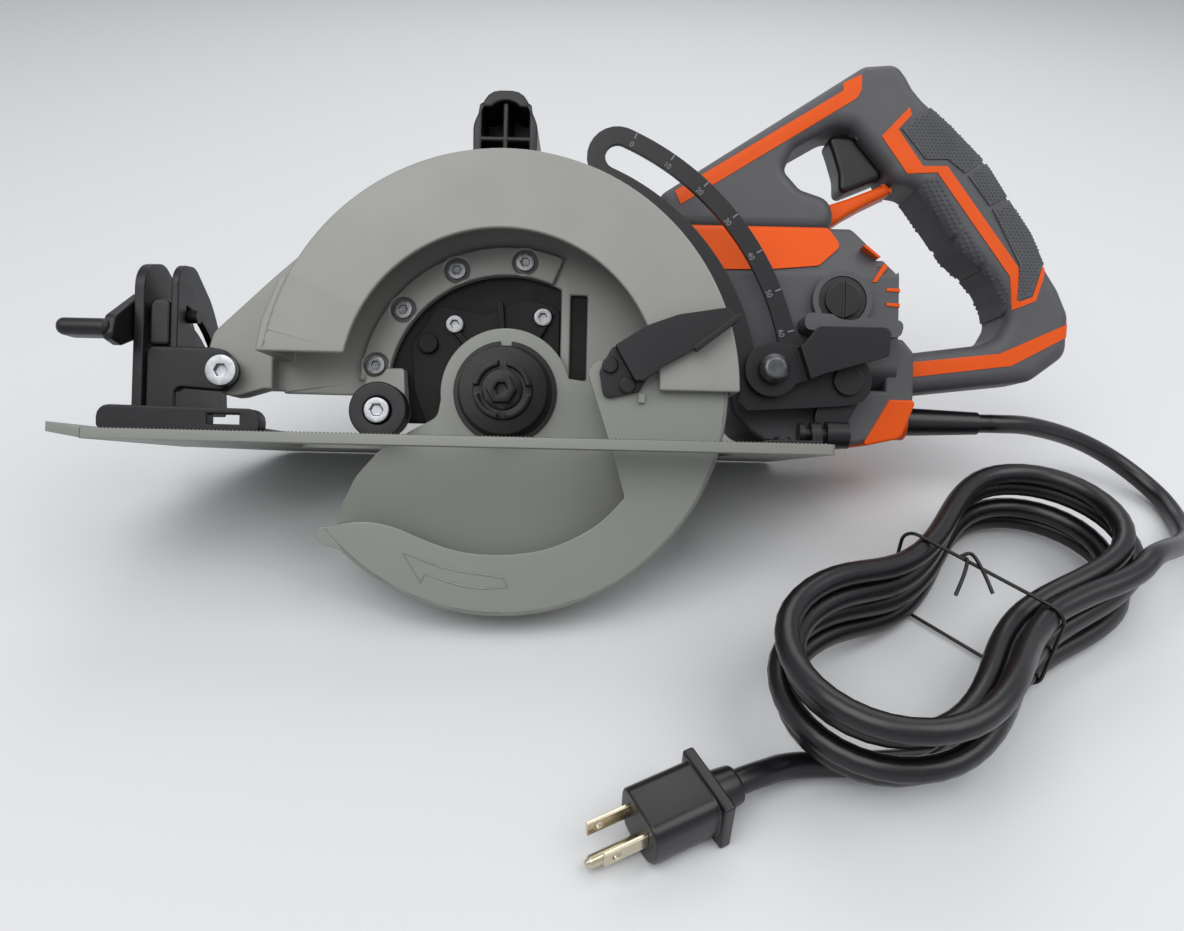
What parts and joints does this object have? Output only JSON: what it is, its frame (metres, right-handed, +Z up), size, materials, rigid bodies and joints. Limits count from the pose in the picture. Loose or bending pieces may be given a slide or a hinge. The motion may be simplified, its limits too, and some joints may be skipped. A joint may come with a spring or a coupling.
{
  "type": "worm drive circular saw",
  "caption": "Hand-held worm drive circular saw with fixed and swinging blade guards, tilting slotted shoe, rear D handle with trigger, top handle and a tied hank of cord with a plug.",
  "frame": {"origin": "on the floor under the middle of the saw's box, the cord left out", "axes": "+X to the rear handle, +Y away from the blade side, +Z up from the floor; the saw leans back on its lower guard and the far edge of its shoe"},
  "size_m": [0.5316, 0.3557, 0.1935],
  "materials": {
    "guard_paint": "satin warm grey paint",
    "case_black": "satin black paint",
    "black_steel": "black oxide",
    "shoe_steel": "satin grey aluminium",
    "zinc_steel": "bright zinc",
    "steel": "ground steel",
    "bronze": "worm wheel bronze",
    "copper": "commutator copper",
    "core_steel": "stacked sheet steel",
    "housing_grey": "fine grained mid grey",
    "trim_orange": "satin orange",
    "black_plastic": "satin black",
    "black_rubber": "smooth black rubber",
    "prong_nickel": "nickel plate"
  },
  "bodies": {
    "saw_body": {"upper_guard": "guard_paint", "gear_case": "case_black", "case_cover": "case_black", "bearing_retainer": "case_black", "guard_screws": "black_steel", "retainer_screws": "zinc_steel", "cover_screws": "black_steel", "guard_bumper": "black_plastic", "bumper_screw": "zinc_steel", "snap_ring": "zinc_steel", "top_handle": "black_plastic", "oil_plug": "black_steel", "motor_housing": "housing_grey", "motor_panel": "trim_orange", "field_core": "core_steel", "brush_holders": "copper", "brush_caps": "black_plastic", "handle_near": "housing_grey", "handle_far": "housing_grey", "handle_trim": "trim_orange", "handle_screws": "black_steel", "switch_box": "black_plastic", "trigger_pin": "steel", "spindle_bearings": "steel", "motor_bearings": "steel", "clamp_bolt": "black_steel", "cord_collar": "trim_orange", "strain_relief": "black_rubber", "cord_lead": "black_rubber", "cord_hank": "black_rubber", "cord_tail": "black_rubber", "cord_ties": "black_rubber", "plug_body": "black_rubber", "plug_prongs": "prong_nickel"},
    "arbor_set": {"arbor": "steel", "worm_wheel": "bronze", "inner_flange": "black_steel", "outer_flange": "black_steel", "arbor_bolt": "black_steel"},
    "motor_set": {"armature_shaft": "steel", "worm": "steel", "armature_core": "core_steel", "commutator": "copper", "fan": "black_plastic"},
    "lower_guard_set": {"lower_guard": "guard_paint", "lift_lever": "black_steel", "lever_rivets": "black_steel"},
    "trigger": {"trigger": "black_plastic"},
    "lock_button": {"lock_button": "black_plastic"},
    "depth_carriage": {"front_bracket": "black_steel", "pivot_screw": "zinc_steel", "rear_hinge": "black_steel", "bevel_pins": "black_steel"},
    "depth_arm": {"depth_arm": "black_steel"},
    "depth_lever": {"depth_lever": "black_steel"},
    "shoe_set": {"shoe": "shoe_steel", "bevel_quadrant": "black_steel", "rear_ear": "black_steel", "shoe_screws": "black_steel"},
    "bevel_lever": {"bevel_lever": "black_steel"}
  },
  "joints": [
    {"name": "motor_spin", "type": "hinge", "parent": "saw_body", "child": "motor_set", "pos_m": [0.054, 0.02893, 0.08115], "axis": [1, 0, 0], "continuous": true},
    {"name": "arbor_spin", "type": "hinge", "parent": "saw_body", "child": "arbor_set", "pos_m": [-0.046, -0.0515, 0.08289], "axis": [0, 0.8078, -0.5894], "continuous": true},
    {"name": "lower_guard_swing", "type": "hinge", "parent": "saw_body", "child": "lower_guard_set", "pos_m": [-0.046, -0.0515, 0.08289], "axis": [0, -0.8078, 0.5894], "range_deg": [0, 120], "stiffness_Nm_per_rad": 0.25, "springref_deg": -45.84},
    {"name": "trigger_pull", "type": "hinge", "parent": "saw_body", "child": "trigger", "pos_m": [0.125, 0.08374, 0.15628], "axis": [0, -0.8078, 0.5894], "range_deg": [0, 6], "stiffness_Nm_per_rad": 1.2, "springref_deg": -5.73},
    {"name": "lock_press", "type": "slide", "parent": "saw_body", "child": "lock_button", "axis": [0, -0.5894, -0.8078], "range_m": [0, 0.0025], "stiffness_N_per_m": 800, "springref_m": -0.003},
    {"name": "depth_swing", "type": "hinge", "parent": "saw_body", "child": "depth_carriage", "pos_m": [-0.1695, -0.04796, 0.08774], "axis": [0, 0.8078, -0.5894], "range_deg": [0, 27]},
    {"name": "depth_arm_swing", "type": "hinge", "parent": "depth_carriage", "child": "depth_arm", "pos_m": [0.111, -0.03349, 0.08213], "axis": [0, 0.8078, -0.5894], "range_deg": [0, 16]},
    {"name": "bevel_tilt", "type": "hinge", "parent": "depth_carriage", "child": "shoe_set", "pos_m": [-0.046, -0.06093, 0.06996], "axis": [-1, 0, 0], "range_deg": [0, 45]},
    {"name": "bevel_clamp", "type": "hinge", "parent": "shoe_set", "child": "bevel_lever", "pos_m": [-0.211, -0.02445, 0.10268], "axis": [1, 0, 0], "range_deg": [0, 35]},
    {"name": "depth_clamp", "type": "hinge", "parent": "saw_body", "child": "depth_lever", "pos_m": [0.07502, -0.03529, 0.08814], "axis": [0, -0.8078, 0.5894], "range_deg": [0, 40]}
  ],
  "couplings": [
    {"joint": "arbor_spin", "follows": "motor_spin", "ratio": -0.26667},
    {"joint": "depth_arm_swing", "follows": "depth_swing", "ratio": 0.563}
  ]
}
